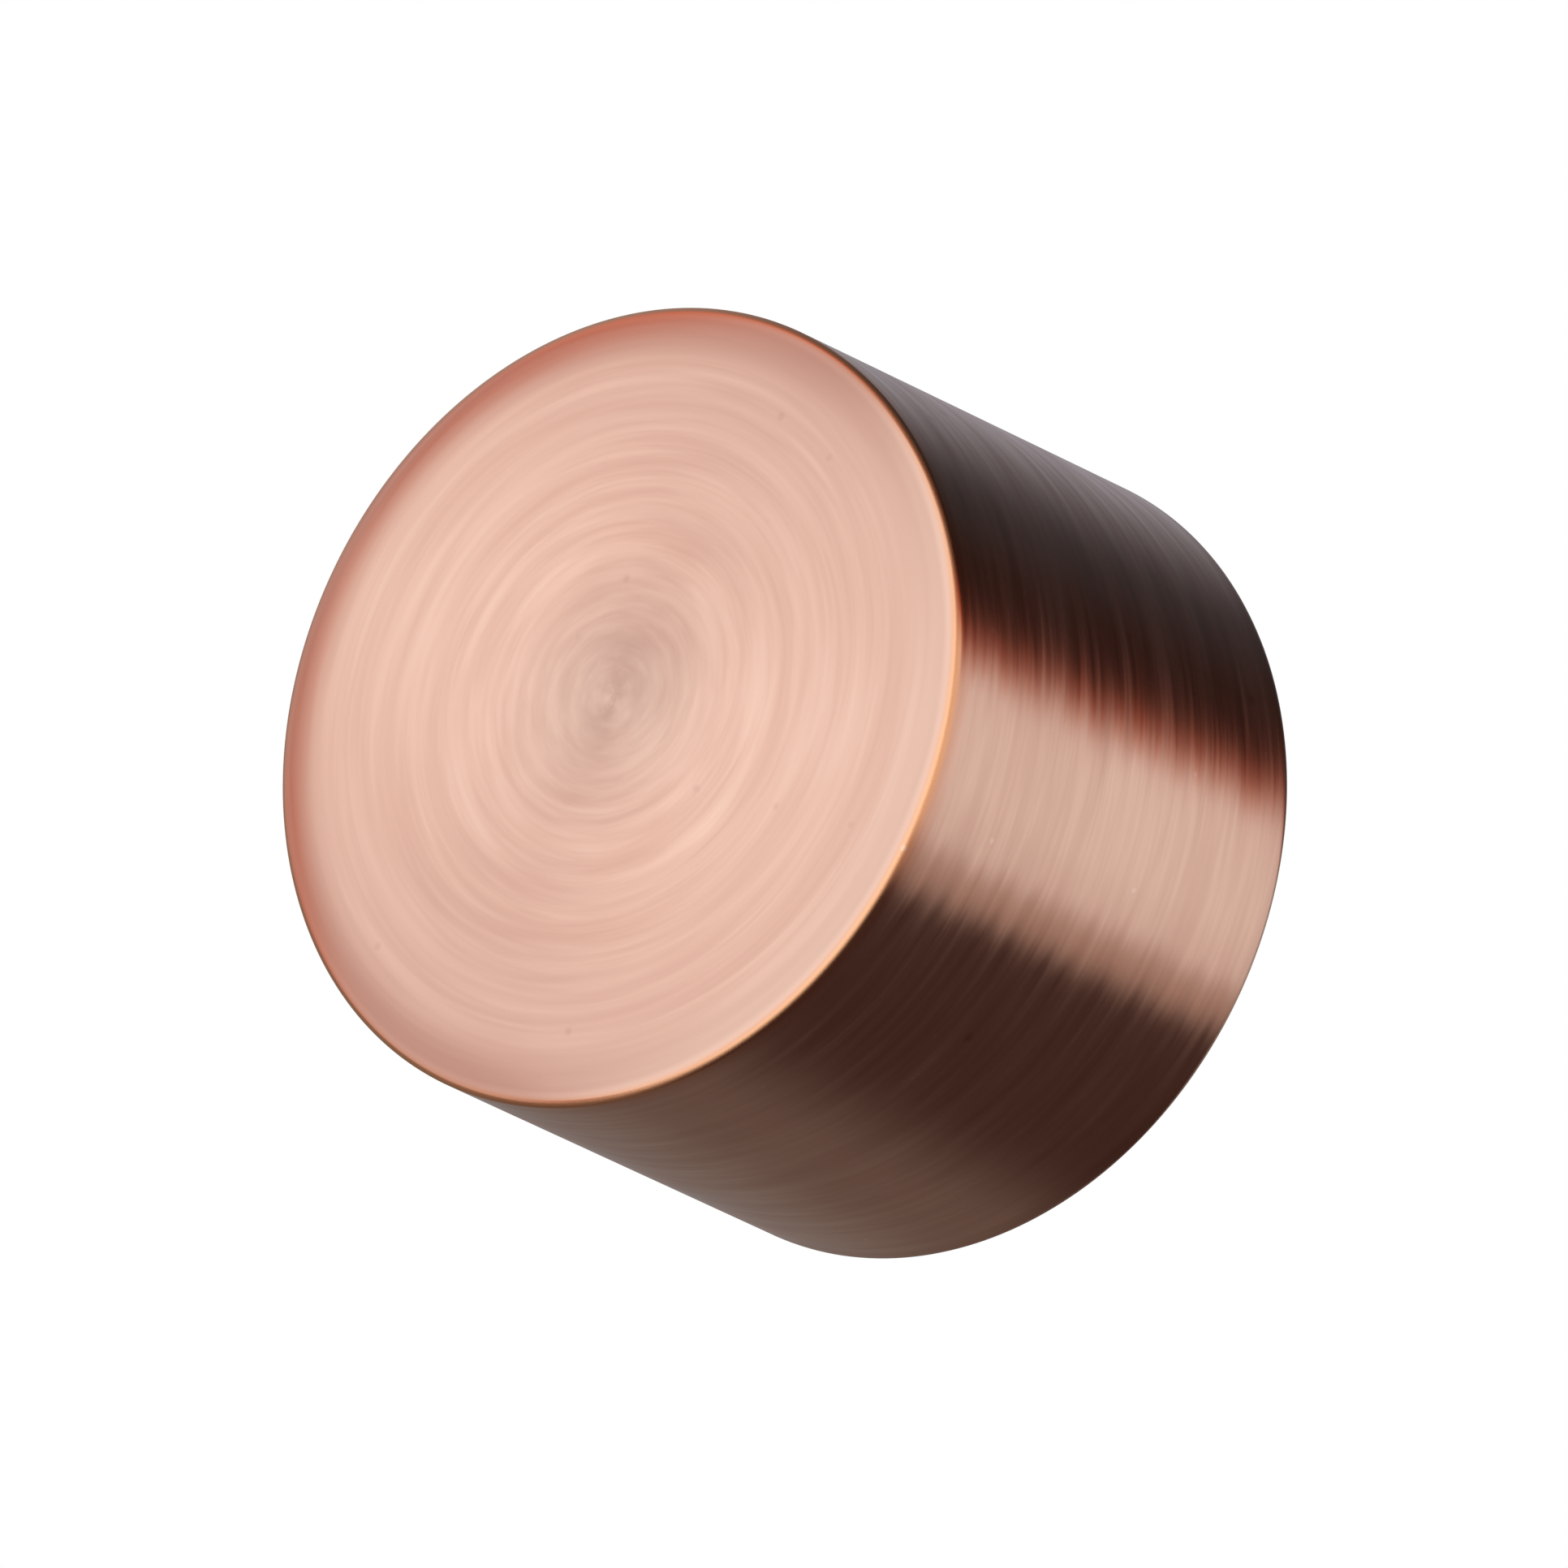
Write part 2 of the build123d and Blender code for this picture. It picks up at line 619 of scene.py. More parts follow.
    def _surface(self, w: Wiring, effects: SurfaceEffects) -> dict[str, Socket]:
        """Works out what the brushed surface shows.

        Args:
            w: The material's wiring.
            effects: The shared node groups.

        Returns:
            Its colour, roughness and normal, by the names of the shader's inputs.
        """
        bench = self._bench(w, effects)
        lines = self._lines(bench, self.GROOVES)
        smooth = w.node("ShaderNodeNewGeometry").outputs["Normal"]
        lean = {"Normal": smooth, "Lines": self._lines(bench, self.SCRATCHES), "Amount": self.sway}
        swayed = w.group(effects.sway, lean)
        relief = {"Height": lines, "Distance": self.groove, "Strength": 1.0, "Normal": swayed}
        return {
            "Base Color": self._colour(bench),
            "Roughness": self._roughness(bench, lines),
            "Normal": w.node("ShaderNodeBump", relief).outputs[0],
        }


@dataclass(frozen=True)
class TurnedCopper(Metal):
    """The duller copper of the socket and the screw hole, with the marks of the tool."""

    name: str = "turned_copper"
    light: Triple = (0.66, 0.42, 0.33)
    deep: Triple = (0.45, 0.27, 0.20)
    tone_range: Range = (0.35, 0.65)
    roughness: Range = (0.34, 0.50)
    feed: LineLayer = LineLayer(4.0, 0.6, 0.6)
    feed_detail: float = 1.0
    stains_per_m: float = 260.0
    stain_detail: float = 3.0
    stain_share: float = 0.4
    anisotropy: float = 0.5
    groove: float = 4.0e-6

    def _surface(self, w: Wiring, effects: SurfaceEffects) -> dict[str, Socket]:
        """Works out what the turned surface shows.

        Args:
            w: The material's wiring.
            effects: The shared node groups.

        Returns:
            Its colour, roughness and normal, by the names of the shader's inputs.
        """
        place = w.place()
        marks = {"Place": place, "Lines per mm": self.feed.per_mm, "Breaks": self.feed.breaks}
        feed = w.group(effects.lines, {**marks, "Detail": self.feed_detail})
        stain = w.noise(place, self.stains_per_m, self.stain_detail)
        stained = w.math("MULTIPLY", stain, self.stain_share)
        tone = w.math("MULTIPLY_ADD", feed, self.feed.share, stained)
        relief = {"Height": feed, "Distance": self.groove, "Strength": 1.0}
        return {
            "Base Color": w.blend(w.eased(tone, *self.tone_range), self.deep, self.light),
            "Roughness": w.eased(tone, *self.tone_range, *self.roughness),
            "Normal": w.node("ShaderNodeBump", relief).outputs[0],
        }


@dataclass(frozen=True)
class DarkSteel(Metal):
    """Oiled dark steel, mottled and rubbed bright in small nicks."""

    name: str
    light: Triple
    deep: Triple
    tone_range: Range = (0.35, 0.8)
    roughness: Range = (0.26, 0.42)
    mottles_per_m: float = 4200.0
    mottle_detail: float = 3.0
    nicks: Specks = Specks(2600.0, 0.12, 0.3)
    anisotropy: float = 0.0

    def _surface(self, w: Wiring, effects: SurfaceEffects) -> dict[str, Socket]:
        """Works out what the steel shows.

        Args:
            w: The material's wiring.
            effects: The shared node groups.

        Returns:
            Its colour and roughness, by the names of the shader's inputs.
        """
        place = w.place()
        mottle = w.noise(place, self.mottles_per_m, self.mottle_detail)
        tone = w.math("ADD", mottle, self.nicks.build(w, effects, place), clamp=True)
        return {
            "Base Color": w.blend(w.eased(tone, *self.tone_range), self.deep, self.light),
            "Roughness": w.eased(tone, *self.tone_range, *self.roughness),
        }


def spin_round(mesh: Mesh, parts: list, steps: int) -> None:
    """Spins some vertices and edges of a mesh once round the X axis and joins the seam."""
    turn = {"cent": (0, 0, 0), "axis": (1, 0, 0), "angle": math.tau}
    bmesh.ops.spin(mesh, geom=parts, steps=steps, use_merge=True, **turn)


def set_down(mesh: Mesh, place: Triple, axis: str) -> None:
    """Gives a mesh a quarter turn round one axis and moves it to its place."""
    matrix = Matrix.Translation(place) @ Matrix.Rotation(QUARTER_TURN, 4, axis)
    bmesh.ops.transform(mesh, matrix=matrix, verts=mesh.verts[:])


@dataclass(frozen=True)
class Corner:
    """One corner of a turned outline: its place along the axis, its radius and how it is rounded."""

    along: float
    radius: float
    rounding: float = 0.0
    steps: int = 1


class TurnedOutline:
    """Draws half of a turned piece's section in the XY plane, with X as the axis, and turns it round."""

    HOLD: ClassVar[float] = 0.12 * MM
    LONG_RUN: ClassVar[float] = 4 * HOLD
    TOLERANCE: ClassVar[float] = 1e-7

    def __init__(self, corners: list[Corner]) -> None:
        """Draws the section.

        Args:
            corners: The outline's corners in order, from the axis back to the axis.
        """
        self.mesh = bmesh.new()
        self.tip = self.mesh.verts.new(self._point(corners[0]))
        for before, here, after in zip(corners, corners[1:], corners[2:]):
            self._round(self._point(before), here, self._point(after))
        self._line(self._point(corners[-1]))

    @staticmethod
    def _point(corner: Corner) -> Vector:
        """Gives a corner's place in the drawing plane."""
        return Vector((corner.along, corner.radius, 0.0))

    def _line(self, end: Vector) -> None:
        """Draws a straight run, with an edge held near each end so that a long face shades flat.

        Args:
            end: Where the run ends.
        """
        start = self.tip.co.copy()
        run = end - start
        if run.length < self.TOLERANCE:
            return
        stops = [end]
        if run.length > self.LONG_RUN:
            stops = [start + run.normalized() * self.HOLD, end - run.normalized() * self.HOLD, end]
        for stop in stops:
            self.tip = bmesh.ops.extrude_vert_indiv(self.mesh, verts=[self.tip])["verts"][0]
            self.tip.co = stop

    def _round(self, before: Vector, here: Corner, after: Vector) -> None:
        """Draws up to a corner and round it.

        Args:
            before: The place of the corner before it.
            here: The corner itself.
            after: The place of the corner after it.
        """
        place = self._point(here)
        if not here.rounding:
            self._line(place)
            return
        into, out = (place - before).normalized(), (after - place).normalized()
        turn = into.cross(out).z
        angle = math.copysign(into.angle(out), turn)
        start = place - into * here.rounding * math.tan(abs(angle) / 2)
        self._line(start)
        side = Vector((-into.y, into.x, 0.0)) * math.copysign(here.rounding, turn)
        swept = bmesh.ops.spin(
            self.mesh, geom=[self.tip], cent=start + side, axis=(0, 0, 1), angle=angle, steps=here.steps
        )
        self.tip = swept["geom_last"][0]

    def turn(self, steps: int) -> Mesh:
        """Turns the section round the X axis into a closed skin.

        Args:
            steps: The number of steps in a full turn.

        Returns:
            The finished mesh.
        """
        spin_round(self.mesh, self.mesh.verts[:] + self.mesh.edges[:], steps)
        bmesh.ops.remove_doubles(self.mesh, verts=self.mesh.verts[:], dist=self.TOLERANCE)
        bmesh.ops.recalc_face_normals(self.mesh, faces=self.mesh.faces[:])
        return self.mesh


class Workshop:
    """Makes Blender objects from meshes and cuts one with another."""

    SHARP: ClassVar[float] = math.radians(32)

    @staticmethod
    def piece(name: str, mesh: Mesh, materials: list[Material]) -> Piece:
        """Turns a bmesh into an object in the scene.

        Args:
            name: The object's name.
            mesh: Its mesh, which is freed.
            materials: Its materials in the order of their slots.

        Returns:
            The object.
        """
        data = bpy.data.meshes.new(name)
        mesh.to_mesh(data)
        mesh.free()
        for material in materials:
            data.materials.append(material)
        made = bpy.data.objects.new(name, data)
        bpy.context.scene.collection.objects.link(made)
        return made

    @staticmethod
    def cut(target: Piece, tool: Piece) -> None:
        """Cuts one object with another, which is then removed.

        Args:
            target: The object that keeps what is left.
            tool: The object whose space is taken away.
        """
        knife = target.modifiers.new("cut", "BOOLEAN")
        knife.operation, knife.solver, knife.object = "DIFFERENCE", "EXACT", tool
        solved = target.evaluated_get(bpy.context.evaluated_depsgraph_get())
        left, whole = bpy.data.meshes.new_from_object(solved), target.data
        target.modifiers.clear()
        target.data = left
        bpy.data.meshes.remove(whole)
        bpy.data.objects.remove(tool)

    @classmethod
    def shade(cls, target: Piece) -> None:
        """Shades an object smoothly between its sharp edges.

        Args:
            target: The object to shade.
        """
        mesh = bmesh.new()
        mesh.from_mesh(target.data)
        for face in mesh.faces:
            face.smooth = True
        for edge in mesh.edges:
            edge.smooth = edge.calc_face_angle(0.0) < cls.SHARP
        mesh.to_mesh(target.data)
        mesh.free()


@dataclass
class EndCap:
    """The turned cap: a face with a softly rolled-off border, a straight side and a blind socket."""

    face_along: float
    mouth_along: float
    outer_radius: float
    socket_radius: float
    hole_along: float
    roll_width: float = 2.6 * MM
    roll_drop: float = 0.36 * MM
    face_edge: float = 0.4 * MM
    rim_edge: float = 0.6 * MM
    mouth_chamfer: float = 0.6 * MM
    broken_edge: float = 0.06 * MM
    hole_radius: float = 2.03 * MM
    hole_break: float = 0.3 * MM
    drill_overrun: float = 1.0 * MM
    drill_steps: int = 64
    turn_steps: int = 240
    roll_steps: int = 14
    edge_steps: int = 10
    break_steps: int = 3

    @classmethod
    def from_frame(cls) -> "EndCap":
        """Reads the cap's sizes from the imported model.

        Returns:
            The cap, with its lesser sizes as they are by default.
        """
        low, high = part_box("end_cap")
        screw_low, screw_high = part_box("grub_screw")
        socket = frame["record"]["mounts"][0]["dims"]
        return cls(
            face_along=low.x,
            mouth_along=high.x,
            outer_radius=(high.y - low.y) / 2,
            socket_radius=socket["r_mm"] * MM,
            hole_along=(screw_low.x + screw_high.x) / 2,
        )

    @property
    def roll(self) -> float:
        """Gives the radius of the arc that rolls the face off towards its edge."""
        return (self.roll_width**2 + self.roll_drop**2) / (2 * self.roll_drop)

    @property
    def tilt(self) -> float:
        """Gives the slope of the rolled-off border where its edge is rounded."""
        return math.asin((self.roll_width - self.face_edge) / (self.roll - self.face_edge))

    @property
    def bend(self) -> float:
        """Gives the radius at which the flat and the sloping end of the border would meet."""
        return self.outer_radius - self.roll_width + self.roll * math.tan(self.tilt / 2)

    @property
    def edge_along(self) -> float:
        """Gives the place along the axis of the edge between the face and the side."""
        return self.face_along + (self.outer_radius - self.bend) * math.tan(self.tilt)

    def _corners(self) -> list[Corner]:
        """Works out the corners of the cap's section.

        Returns:
            The corners from the middle of the face, round the outside, to the middle of the seat.
        """
        mouth, bore, chamfer = self.mouth_along, self.socket_radius, self.mouth_chamfer
        broken = (self.broken_edge, self.break_steps)
        return [
            Corner(self.face_along, 0.0),
            Corner(self.face_along, self.bend, self.roll, self.roll_steps),
            Corner(self.edge_along, self.outer_radius, self.face_edge, self.edge_steps),
            Corner(mouth, self.outer_radius, self.rim_edge, self.edge_steps),
            Corner(mouth, bore + chamfer, *broken),
            Corner(mouth - chamfer, bore, *broken),
            Corner(0.0, bore, *broken),
            Corner(0.0, 0.0),
        ]

    def _screw_hole(self) -> Piece:
        """Makes the tool for the screw hole, a drill with a countersink.

        Returns:
            The tool, placed through the back of the cap.
        """
        over, wide = self.drill_overrun, self.hole_radius + self.hole_break
        top, deep = self.outer_radius, self.socket_radius - over
        drill = TurnedOutline(
            [
                Corner(deep, 0.0),
                Corner(deep, self.hole_radius),
                Corner(top - self.hole_break, self.hole_radius),
                Corner(top, wide),
                Corner(top + over, wide + over),
                Corner(top + over, 0.0),
            ]
        ).turn(self.drill_steps)
        for face in drill.faces:
            face.material_index = CapFinish.TAPPED.value
        set_down(drill, (self.hole_along, 0, 0), "Z")
        return Workshop.piece("hole_tool", drill, [])

    def build(self, materials: list[Material]) -> Piece:
        """Models the cap and dresses it.

        Args:
            materials: The brushed, turned and tapped finishes in the order of CapFinish.

        Returns:
            The cap's object.
        """
        skin = TurnedOutline(self._corners()).turn(self.turn_steps)
        inside = self.socket_radius + self.mouth_chamfer
        for face in skin.faces:
            middle = face.calc_center_median()
            in_socket = middle.x > -self.broken_edge and middle.yz.length < inside
            face.material_index = (CapFinish.TURNED if in_socket else CapFinish.BRUSHED).value
        cap = Workshop.piece("finial_cap", skin, materials)
        Workshop.cut(cap, self._screw_hole())
        Workshop.shade(cap)
        return cap


@dataclass
class GrubScrew:
    """The socket set screw in the back of the cap, with its point level with the socket's wall."""

    FLANK_ANGLE: ClassVar[float] = math.radians(30)

    along: float
    tip_height: float
    length: float
    crest_radius: float
    root_radius: float = 1.66 * MM
    pitch: float = 0.7 * MM
    end_chamfer: float = 0.3 * MM
    cup_radius: float = 1.0 * MM
    cup_depth: float = 0.6 * MM
    key_across_flats: float = 2.0 * MM
    key_depth: float = 1.6 * MM
    drill_point: float = 0.3 * MM
    thread_foot: float = 0.08 * MM
    thread_inset: float = 0.02 * MM
    worn_edge: float = 0.05 * MM
    worn_steps: int = 3
    turn_steps: int = 64

    @classmethod
    def from_frame(cls) -> "GrubScrew":
        """Reads the screw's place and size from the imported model."""
        low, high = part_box("grub_screw")
        return cls((low.x + high.x) / 2, low.y, high.y - low.y, (high.x - low.x) / 2)

    def _thread(self, mesh: Mesh) -> None:
        """Winds the thread round the screw and trims it to the chamfers at the ends.

        Args:
            mesh: The screw's mesh, to which the thread is added.
        """
        inner = self.root_radius - self.thread_foot
        flank = (self.crest_radius - inner) * math.tan(self.FLANK_ANGLE)
        points = [(-flank, inner), (0.0, self.crest_radius), (flank, inner)]
        ridge = bmesh.new()
        section = ridge.faces.new([ridge.verts.new((x, y, 0.0)) for x, y in points])
        turns = self.length / self.pitch
        count = round(turns * self.turn_steps)
        bmesh.ops.spin(
            ridge,
            geom=[section, *section.edges, *section.verts],
            cent=(0, 0, 0),
            axis=(1, 0, 0),
            dvec=(self.length / count, 0, 0),
            angle=math.tau * turns,
            steps=count,
        )
        bmesh.ops.holes_fill(ridge, edges=ridge.edges[:], sides=3)
        end_radius = self.crest_radius - self.end_chamfer
        for vert in ridge.verts:
            depth = min(max(vert.co.x, 0.0), max(self.length - vert.co.x, 0.0))
            limit = min(self.crest_radius, end_radius + depth)
            reach = vert.co.yz.length
            if reach > limit:
                vert.co.yz = vert.co.yz * (limit / reach)
            vert.co.x = min(max(vert.co.x, self.thread_inset), self.length - self.thread_inset)
        bmesh.ops.recalc_face_normals(ridge, faces=ridge.faces[:])
        holder = bpy.data.meshes.new("thread")
        ridge.to_mesh(holder)
        ridge.free()
        mesh.from_mesh(holder)
        bpy.data.meshes.remove(holder)

    def _key_tool(self) -> Piece:
        """Makes the tool for the key socket, a hexagon with a drilled point.

        Returns:
            The tool, in the screw's own place before it is set in the cap.
        """
        tool = bmesh.new()
        corner_radius = self.key_across_flats / math.sqrt(3)
        bmesh.ops.create_circle(tool, cap_ends=True, radius=corner_radius, segments=6)
        grown = bmesh.ops.extrude_face_region(tool, geom=tool.faces[:])["geom"]
        raised = [part for part in grown if isinstance(part, bmesh.types.BMVert)]
        bmesh.ops.translate(tool, verts=raised, vec=(0, 0, self.key_depth + self.end_chamfer))
        bmesh.ops.recalc_face_normals(tool, faces=tool.faces[:])
        low = min(tool.faces, key=lambda face: face.calc_center_median().z)
        bmesh.ops.poke(tool, faces=[low], offset=self.drill_point)
        # The socket's walls take the darker steel: painted shade in the recess.
        for face in tool.faces:
            face.material_index = ScrewFinish.SHADED.value
        set_down(tool, (self.length - self.key_depth, 0, 0), "Y")
        return Workshop.piece("key_tool", tool, [])

    def build(self, materials: list[Material]) -> Piece:
        """Models the screw, sets it in the cap and dresses it.

        Args:
            materials: The oiled steel and its darker copy of painted shade for the key socket, in the order
                of ScrewFinish.

        Returns:
            The screw's object.
        """
        worn = (self.worn_edge, self.worn_steps)
        body = TurnedOutline(
            [
                Corner(self.cup_depth, 0.0),
                Corner(0.0, self.cup_radius, *worn),
                Corner(0.0, self.root_radius, *worn),
                Corner(self.length, self.root_radius, *worn),
                Corner(self.length, 0.0),
            ]
        ).turn(self.turn_steps)
        screw = Workshop.piece("set_screw", body, materials)
        Workshop.cut(screw, self._key_tool())
        mesh = bmesh.new()
        mesh.from_mesh(screw.data)
        self._thread(mesh)
        set_down(mesh, (self.along, self.tip_height, 0), "Z")
        mesh.to_mesh(screw.data)
        mesh.free()
        Workshop.shade(screw)
        return screw


class Card(ABC):
    """What every card does: it glows by itself and is seen only in reflections."""

    name: str

    @abstractmethod
    def _shade(self, w: Wiring, place: Socket) -> Socket:
        """Mixes the card's colour at a place in Object coordinates."""

    @abstractmethod
    def _shape(self) -> Mesh:
        """Makes the card's mesh."""

    def build(self) -> None:
        """Makes the card and links it into the scene."""
        material, w = new_material(self.name)
        glow = w.node("ShaderNodeEmission", {"Color": self._shade(w, w.place())})
        w.node("ShaderNodeOutputMaterial", {"Surface": glow.outputs[0]})
        card = Workshop.piece(self.name, self._shape(), [material])
        card.visible_camera = card.visible_diffuse = card.visible_shadow = False


@dataclass(frozen=True)
class CurvedCard(Card):
    """A card bent round the cap's axis.

    Its shades are given by the angle round the axis: 0 is the front, 90 the top and -90 below.
    """

    STEPS: ClassVar[int] = 96

    name: str
    start_along: float
    end_along: float
    radius: float
    shades: tuple[tuple[float, Triple], ...]

    def _shade(self, w: Wiring, place: Socket) -> Socket:
        """Runs through the shades by the angle round the axis.

        Args:
            w: The tree to add nodes to.
            place: Object coordinates in metres.

        Returns:
            The colour's socket.
        """
        parts = w.node("ShaderNodeSeparateXYZ", {0: place}).outputs
        angle = w.math("ARCTAN2", parts[2], w.math("MULTIPLY", parts[1], -1.0))
        share = w.math("MULTIPLY_ADD", angle, 1 / math.tau, 0.5)
        return w.ramp(share, [((degrees + 180) / 360, colour) for degrees, colour in self.shades])

    def _shape(self) -> Mesh:
        """Spins a line round the axis.

        Returns:
            The card's mesh.
        """
        mesh = bmesh.new()
        ends = [mesh.verts.new((along, -self.radius, 0.0)) for along in (self.start_along, self.end_along)]
        spin_round(mesh, [*ends, mesh.edges.new(ends)], self.STEPS)
        return mesh


@dataclass(frozen=True)
class RoundCard(Card):
    """A flat round card across the cap's axis, with a soft oval of light on it."""

    STEPS: ClassVar[int] = 64

    name: str
    along: float
    radius: float
    middle: float
    tilt: float
    oval: Range
    fade: Range
    inner: Triple
    outer: Triple

    @staticmethod
    def _heading(degrees: float) -> Vector:
        """Gives the direction across the axis at an angle up from the back."""
        return Vector((0.0, math.cos(math.radians(degrees)), math.sin(math.radians(degrees))))

    def _point(self, distance: float) -> Vector:
        """Gives a point of the card at a distance from the axis, in the direction of its tilt."""
        return Vector((self.along, 0.0, 0.0)) + self._heading(self.tilt) * distance

    def _lit(self, w: Wiring, place: Socket, outer: Triple | Socket) -> Socket:
        """Draws the oval of light.

        Args:
            w: The tree to add nodes to.
            place: Object coordinates in metres.
            outer: The shade round the oval.

        Returns:
            The colour's socket.
        """
        inputs = {
            "Vector": place,
            "Location": self._point(self.middle),
            "Rotation": (math.radians(self.tilt), 0, 0),
            "Scale": (1.0, *self.oval),
        }
        local = w.node("ShaderNodeMapping", inputs, vector_type="TEXTURE").outputs[0]
        return w.blend(w.eased(w.vector("LENGTH", local), *self.fade), self.inner, outer)

    def _shade(self, w: Wiring, place: Socket) -> Socket:
        """Gives the card's colour, the oval on its plain outer shade."""
        return self._lit(w, place, self.outer)

    def _shape(self) -> Mesh:
        """Stands a disc across the axis.

        Returns:
            The card's mesh.
        """
        mesh = bmesh.new()
        bmesh.ops.create_circle(mesh, cap_ends=True, radius=self.radius, segments=self.STEPS)
        set_down(mesh, (self.along, 0, 0), "Y")
        return mesh


@dataclass(frozen=True)
class FacingCard(RoundCard):
    """The card that the face mirrors: warmer towards its top, and pale again at its front.

    The face's rounded edge alone mirrors the glint at the front's middle and the ember round it.
    """

    top: Triple
    front: Triple
    glint: Triple
    ember: Triple
    top_tilt: float = 51.5
    top_range: Range = (0.95, 1.5)
    front_range: Range = (0.33, 0.94)
    glint_range: Range = (-0.45, 0.10)
    ember_range: Range = (1.1, 1.4)
    front_middle: float = -0.4

    def _shade(self, w: Wiring, place: Socket) -> Socket:
        """Mixes the card's colour.

        Args:
            w: The tree to add nodes to.
            place: Object coordinates in metres.

        Returns:
            The colour's socket.
        """
        height = w.vector("DOT_PRODUCT", place, self._heading(self.top_tilt))
        depth = w.vector("DOT_PRODUCT", place, self._heading(self.tilt))
        outer = w.blend(w.eased(height, *self.top_range), self.outer, self.top)
        front = w.blend(w.eased(depth, *self.glint_range), self.glint, self.front)
        spread = w.vector("DISTANCE", place, self._point(self.front_middle))
        front = w.blend(w.eased(spread, *self.ember_range), front, self.ember)
        return w.blend(w.eased(depth, *self.front_range), front, self._lit(w, place, outer))


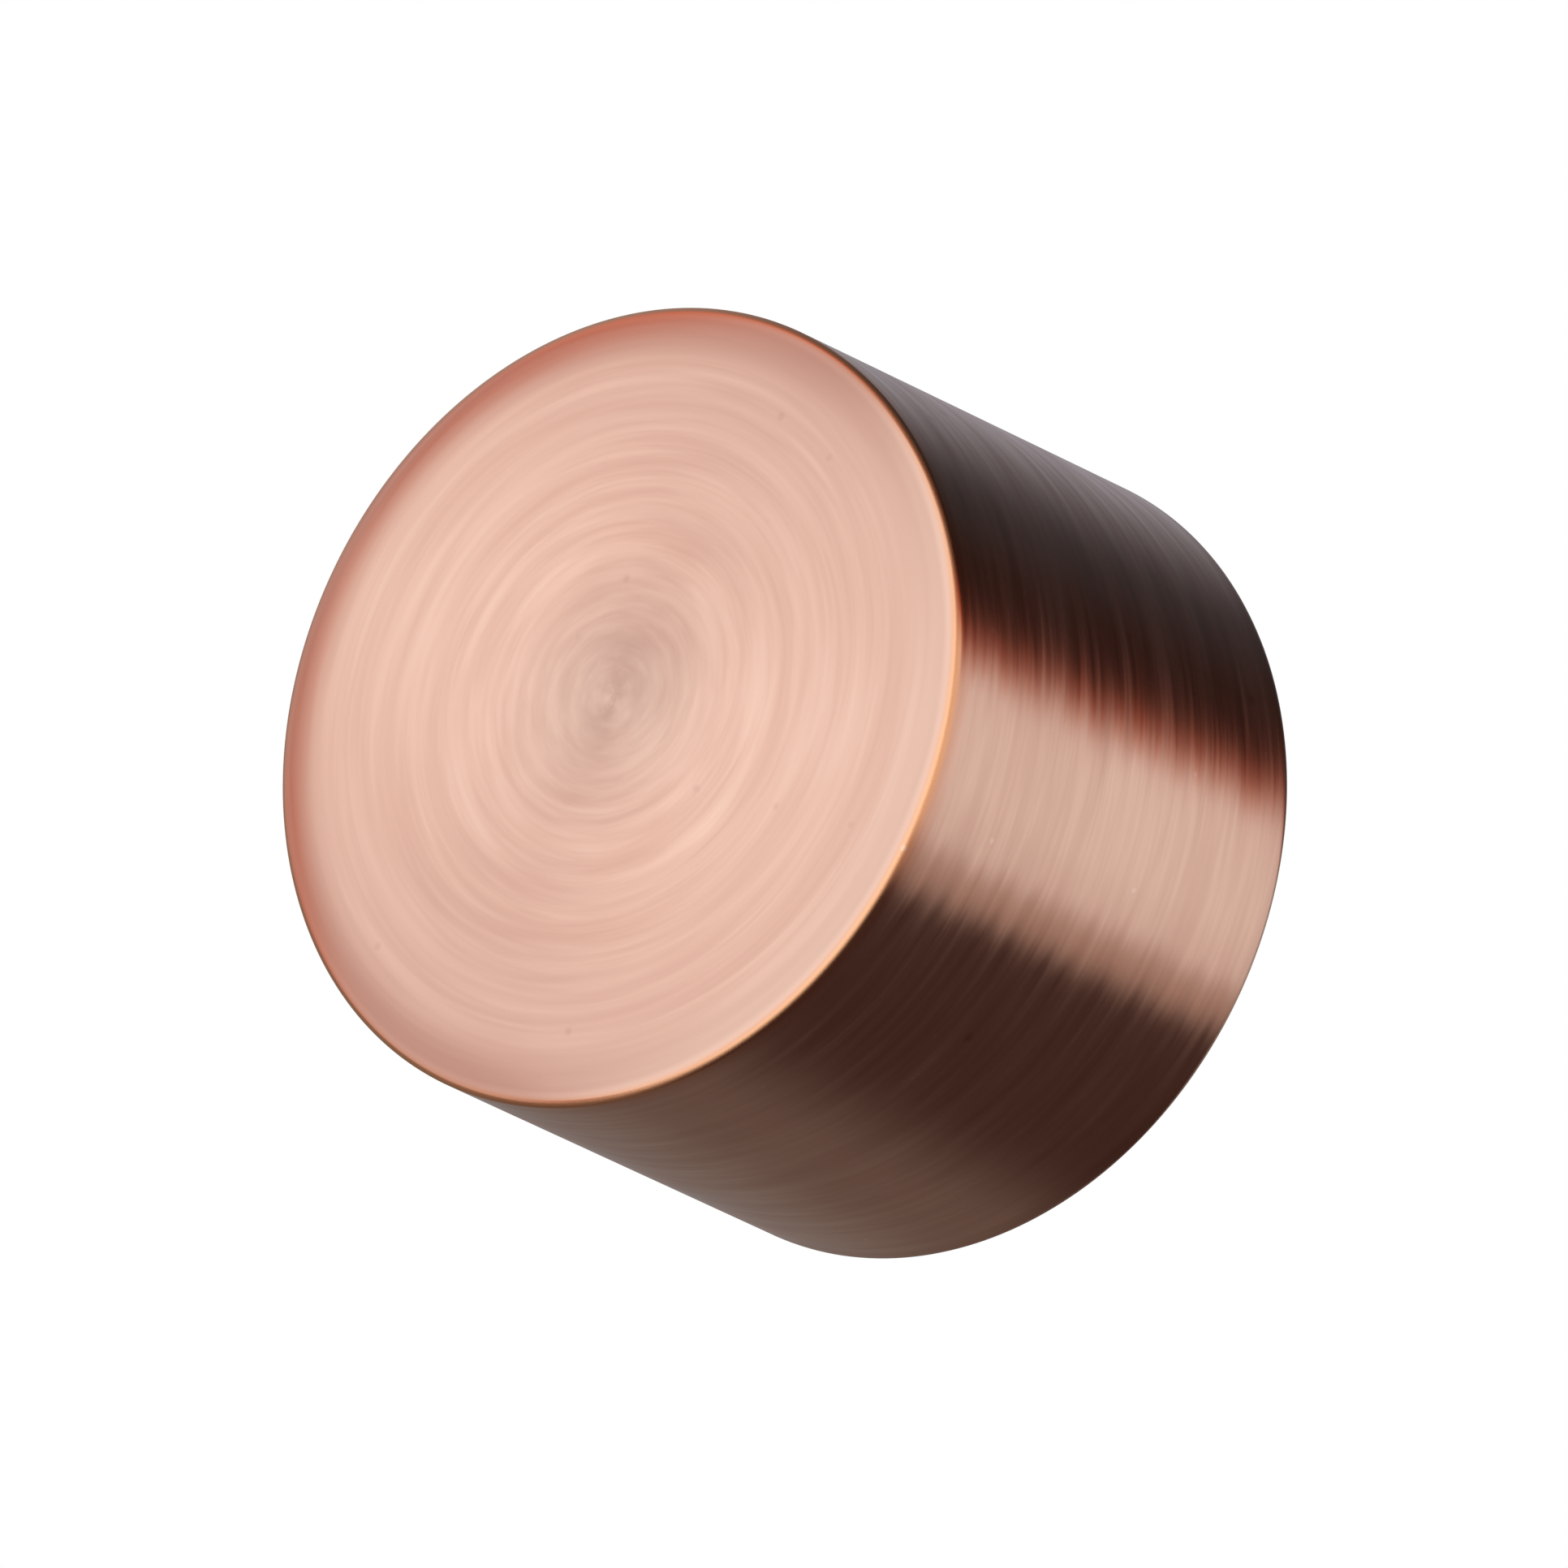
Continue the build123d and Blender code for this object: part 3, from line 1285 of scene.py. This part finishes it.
@dataclass
class Studio:
    """The floor, the world, the cards round the object and the camera."""

    target: Vector
    view_azimuth: float = -54.75
    view_elevation: float = -19.45
    distance: float = 2.4
    frame_width: float = 70 * MM
    sensor_width: float = 36.0
    floor_drop: float = 1.3
    floor_reach: float = 8.0
    floor_shade: Triple = (0.9, 0.9, 0.9)
    world_shade: Triple = (0.8, 0.8, 0.8)

    @staticmethod
    def _white_for(w: Wiring) -> Socket:
        """Finds the rays that see the white backdrop.

        Args:
            w: The tree to add nodes to.

        Returns:
            A value of 1 for those rays and 0 for all others.
        """
        light_path = w.node("ShaderNodeLightPath")
        total = light_path.outputs[RayKind.CAMERA.value]
        for kind in (RayKind.GLOSSY, RayKind.TRANSMISSION):
            total = w.math("MAXIMUM", total, light_path.outputs[kind.value])
        return total

    def world(self) -> None:
        """Makes a world that is white behind the object and lights it evenly."""
        world = bpy.data.worlds.new("studio")
        world.use_nodes = True
        bpy.context.scene.world = world
        w = Wiring(world.node_tree)
        shade = w.blend(self._white_for(w), self.world_shade, WHITE)
        light = w.node("ShaderNodeBackground", {"Color": shade, "Strength": 1.0})
        w.node("ShaderNodeOutputWorld", {"Surface": light.outputs[0]})

    def floor(self) -> None:
        """Lays a plain pale floor far below the cap."""
        material, w = new_material("pale_floor")
        matte = w.node("ShaderNodeBsdfDiffuse", {"Color": (*self.floor_shade, 1.0)})
        white = w.node("ShaderNodeEmission", {"Color": (*WHITE, 1.0)})
        inputs = {0: self._white_for(w), 1: matte.outputs[0], 2: white.outputs[0]}
        mixed = w.node("ShaderNodeMixShader", inputs)
        w.node("ShaderNodeOutputMaterial", {"Surface": mixed.outputs[0]})
        mesh = bmesh.new()
        bmesh.ops.create_grid(mesh, x_segments=1, y_segments=1, size=self.floor_reach)
        bmesh.ops.translate(mesh, verts=mesh.verts[:], vec=(0, 0, -self.floor_drop))
        Workshop.piece("floor", mesh, [material])

    def cards(self) -> None:
        """Hangs the cards that the metal mirrors: a window in front, dark cloth round it and lit ends."""
        window, dim_window = (0.79, 0.745, 0.735), (0.72, 0.66, 0.645)
        coral, terracotta = (0.58, 0.335, 0.275), (0.275, 0.055, 0.026)
        cloth, grey_cloth = (0.026, 0.011, 0.008), (0.032, 0.031, 0.035)
        umber, brown = (0.40, 0.295, 0.26), (0.049, 0.026, 0.0215)
        warm_brown, lit_brown = (0.14, 0.108, 0.095), (0.19, 0.165, 0.15)
        sheet, dim_sheet = (0.38, 0.41, 0.475), (0.21, 0.195, 0.185)
        side = CurvedCard(
            "side_cards",
            start_along=-0.45,
            end_along=3.0,
            radius=1.0,
            shades=(
                (-180, dim_sheet),
                (-162, lit_brown),
                (-147, warm_brown),
                (-128, warm_brown),
                (-95, brown),
                (-47.5, brown),
                (-35.5, umber),
                (-24, dim_window),
                (-10, window),
                (15, window),
                (21.5, coral),
                (26, terracotta),
                (35, cloth),
                (48, cloth),
                (74, grey_cloth),
                (138, sheet),
                (180, dim_sheet),
            ),
        )
        left = FacingCard(
            "left_card",
            along=-1.0,
            radius=2.25,
            middle=0.59,
            tilt=31.5,
            oval=(0.91, 0.18),
            fade=(0.2, 1.12),
            inner=(1.16, 1.185, 1.185),
            outer=(0.67, 0.53, 0.525),
            top=(0.62, 0.17, 0.08),
            front=(1.01, 1.0, 1.02),
            glint=(1.2, 1.23, 1.24),
            ember=(0.30, 0.11, 0.06),
        )
        right = RoundCard(
            "right_card",
            along=3.0,
            radius=1.0,
            middle=0.0,
            tilt=0.0,
            oval=(0.9, 0.9),
            fade=(0.2, 1.0),
            inner=(0.50, 0.47, 0.45),
            outer=(0.12, 0.085, 0.07),
        )
        for card in (side, left, right):
            card.build()

    def camera(self) -> None:
        """Sets the camera at the photograph's viewing angle, with a long lens."""
        azimuth, elevation = math.radians(self.view_azimuth), math.radians(self.view_elevation)
        level = math.cos(elevation)
        back = Vector((math.sin(azimuth) * level, -math.cos(azimuth) * level, math.sin(elevation)))
        data = bpy.data.cameras.new("camera")
        data.sensor_width = self.sensor_width
        data.lens = self.sensor_width * self.distance / self.frame_width
        camera = bpy.data.objects.new("camera", data)
        camera.location = self.target + back * self.distance
        camera.rotation_mode = "QUATERNION"
        camera.rotation_quaternion = (-back).to_track_quat("-Z", "Y")
        bpy.context.scene.collection.objects.link(camera)
        bpy.context.scene.camera = camera

    def build(self) -> None:
        """Sets up the whole stage."""
        self.world()
        self.floor()
        self.cards()
        self.camera()
        bpy.context.scene.view_settings.view_transform = "Standard"


def main() -> None:
    """Builds the cap, the screw and the stage in order."""
    logging.basicConfig(level=logging.INFO, format="%(name)s: %(message)s")
    effects = SurfaceEffects()
    cap = EndCap.from_frame()
    coppers = (
        BrushedCopper(cap.face_along, cap.edge_along, cap.outer_radius, cap.mouth_along),
        TurnedCopper(),
        TurnedCopper("tapped_copper"),
    )
    cap_piece = cap.build([copper.build(effects) for copper in coppers])
    steels = (
        DarkSteel("oiled_steel", light=(0.44, 0.44, 0.45), deep=(0.24, 0.24, 0.25)),
        # A darker copy of the oiled steel: painted shade for the key socket.
        DarkSteel("shaded_steel", light=(0.12, 0.12, 0.125), deep=(0.05, 0.05, 0.055)),
    )
    screw_piece = GrubScrew.from_frame().build([steel.build(effects) for steel in steels])
    for piece, node, slot in (
        (cap_piece, "end_cap", "brushed_copper"),
        (screw_piece, "grub_screw", "dark_steel"),
    ):
        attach(piece, "root")
        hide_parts(node)
        LOG.info("%s: %d faces", piece.name, len(piece.data.polygons))
    low, high = CAD_BOX
    Studio(target=(low + high) / 2).build()


if __name__ == "__main__":
    main()
